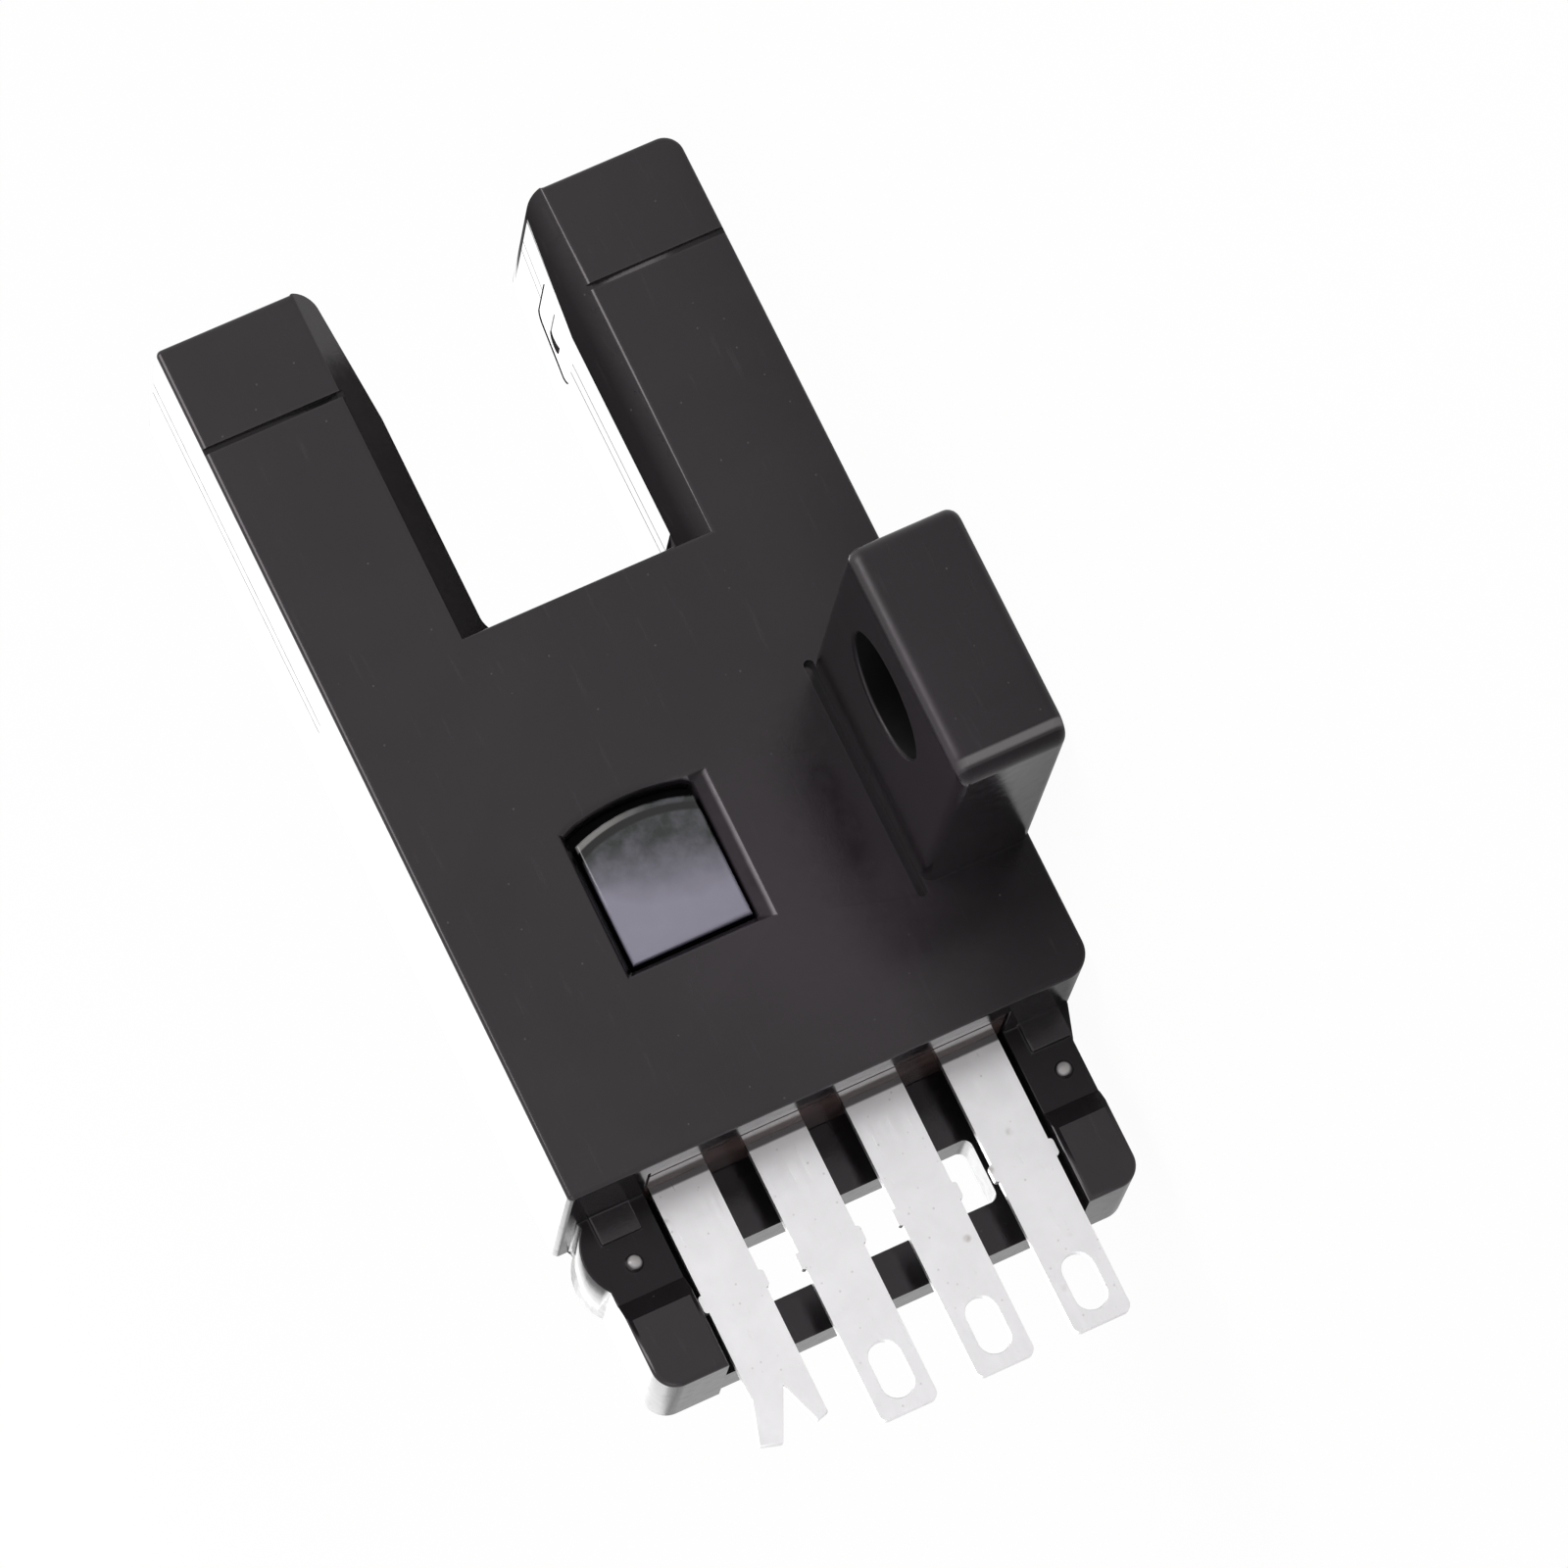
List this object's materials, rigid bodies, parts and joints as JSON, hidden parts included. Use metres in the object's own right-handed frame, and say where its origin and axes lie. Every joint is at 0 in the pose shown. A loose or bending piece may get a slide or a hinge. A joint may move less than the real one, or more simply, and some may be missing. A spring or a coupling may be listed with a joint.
{
  "type": "slot type photoelectric switch sensor",
  "caption": "Fork-shaped photoelectric switch: black moulded body with a sensing slot, side mounting ears, an indicator window and flat solder terminals in a connector skirt.",
  "frame": {"origin": "on the mounting face, midway between the two mounting holes", "axes": "+X along the sensor towards the tips of the fork, +Z away from the mounting face, -Y out of the front with the indicator window"},
  "size_m": [0.0301, 0.0222, 0.0137],
  "materials": {
    "case_plastic": "satin black moulded plastic",
    "cover_plastic": "satin black moulded plastic",
    "filter_plastic": "dark infrared filter plastic, smooth",
    "pane_plastic": "grey translucent plastic, smooth",
    "smoke_plastic": "smoky brown translucent plastic",
    "terminal_metal": "tin plated strip, satin",
    "board_laminate": "green solder resist",
    "solder": "solder, bright",
    "contact_metal": "plated contact metal",
    "emitter_resin": "clear bluish resin",
    "receiver_resin": "dark resin",
    "lamp_resin": "pale resin",
    "chip_epoxy": "black moulding compound",
    "resistor_ceramic": "ceramic body with tinned ends",
    "capacitor_ceramic": "ceramic body with tinned ends"
  },
  "bodies": {
    "root": {"case": "case_plastic", "rear_cover": "cover_plastic", "indicator_window": "pane_plastic", "emitter_window": "filter_plastic", "receiver_window": "filter_plastic", "terminal_block": "smoke_plastic", "terminal_1": "terminal_metal", "terminal_2": "terminal_metal", "terminal_3": "terminal_metal", "terminal_4": "terminal_metal", "circuit_board": "board_laminate", "terminal_solder": "solder", "emitter_led": "emitter_resin", "emitter_contacts": "contact_metal", "receiver_chip": "receiver_resin", "receiver_contacts": "contact_metal", "indicator_lamp": "lamp_resin", "control_chip": "chip_epoxy", "control_chip_leads": "contact_metal", "output_transistor": "chip_epoxy", "output_transistor_leads": "contact_metal", "protection_diode": "chip_epoxy", "protection_diode_leads": "contact_metal", "emitter_resistor": "resistor_ceramic", "bias_resistor": "resistor_ceramic", "output_resistor": "resistor_ceramic", "bypass_capacitor": "capacitor_ceramic"}
  },
  "joints": []
}
